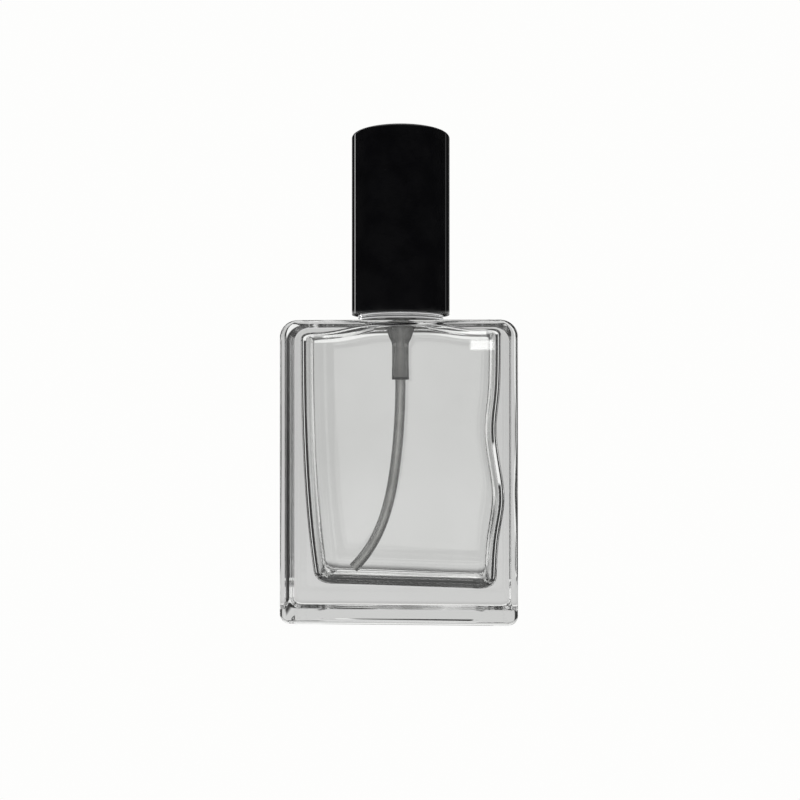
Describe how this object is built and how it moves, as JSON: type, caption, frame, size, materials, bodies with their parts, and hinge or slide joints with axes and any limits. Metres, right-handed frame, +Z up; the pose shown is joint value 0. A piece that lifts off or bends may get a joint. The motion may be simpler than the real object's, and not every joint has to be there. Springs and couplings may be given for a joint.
{
  "type": "spray bottle",
  "caption": "Rectangular clear glass aftershave spray bottle with a screw-on pump, finger button, dip tube and a tall gloss black pull-off cap.",
  "frame": {"origin": "centre of the bottle's resting surface, under the axis of its neck", "axes": "+Z up along the neck, +X to the right across the wide front face, the front faces -Y"},
  "size_m": [0.0436, 0.025, 0.0923],
  "materials": {
    "clear_glass": "thick clear flint glass with slightly wavy inner walls",
    "gloss_black_cap": "black lacquered aluminium, high gloss",
    "black_liner": "black moulded polypropylene",
    "silver_collar": "bright anodised aluminium",
    "white_plastic": "white moulded polypropylene",
    "black_button": "black moulded plastic, satin gloss",
    "natural_plastic": "unpigmented translucent polypropylene",
    "dip_tube_plastic": "unpigmented translucent polyethylene",
    "gasket_rubber": "soft grey sealing rubber",
    "stainless_steel": "bright drawn stainless steel"
  },
  "bodies": {
    "bottle": {"glass_bottle": "clear_glass"},
    "pump": {"neck_gasket": "gasket_rubber", "pump_housing": "natural_plastic", "turret": "white_plastic", "stem_gasket": "gasket_rubber", "dip_tube": "dip_tube_plastic", "return_spring": "stainless_steel"},
    "closure": {"closure_ring": "white_plastic", "collar_shell": "silver_collar"},
    "inlet_valve": {"inlet_ball": "stainless_steel"},
    "plunger": {"stem": "white_plastic", "piston": "natural_plastic", "plunger_core": "white_plastic"},
    "button": {"spray_button": "black_button", "nozzle_insert": "white_plastic"},
    "overcap": {"cap_shell": "gloss_black_cap", "cap_liner": "black_liner"}
  },
  "joints": [
    {"name": "pump_lift", "type": "slide", "parent": "bottle", "child": "pump", "axis": [0, 0, 1], "range_m": [0, 0.00318]},
    {"name": "closure_unscrew", "type": "hinge", "parent": "pump", "child": "closure", "pos_m": [0, 0, 0.0718], "axis": [0, 0, 1], "range_deg": [0, 540]},
    {"name": "inlet_valve_lift", "type": "slide", "parent": "pump", "child": "inlet_valve", "axis": [0, 0, 1], "range_m": [0, 0.0006]},
    {"name": "spray_press", "type": "slide", "parent": "pump", "child": "plunger", "axis": [0, 0, -1], "range_m": [0, 0.004], "stiffness_N_per_m": 1200, "springref_m": -0.004, "deforming": ["return_spring"]},
    {"name": "button_turn", "type": "hinge", "parent": "plunger", "child": "button", "pos_m": [0, 0, 0.0848], "axis": [0, 0, 1], "continuous": true},
    {"name": "overcap_pull", "type": "slide", "parent": "closure", "child": "overcap", "axis": [0, 0, 1], "range_m": [0, 0.038]}
  ],
  "couplings": [
    {"joint": "pump_lift", "follows": "closure_unscrew", "m_per_rad": 0.00033688}
  ]
}
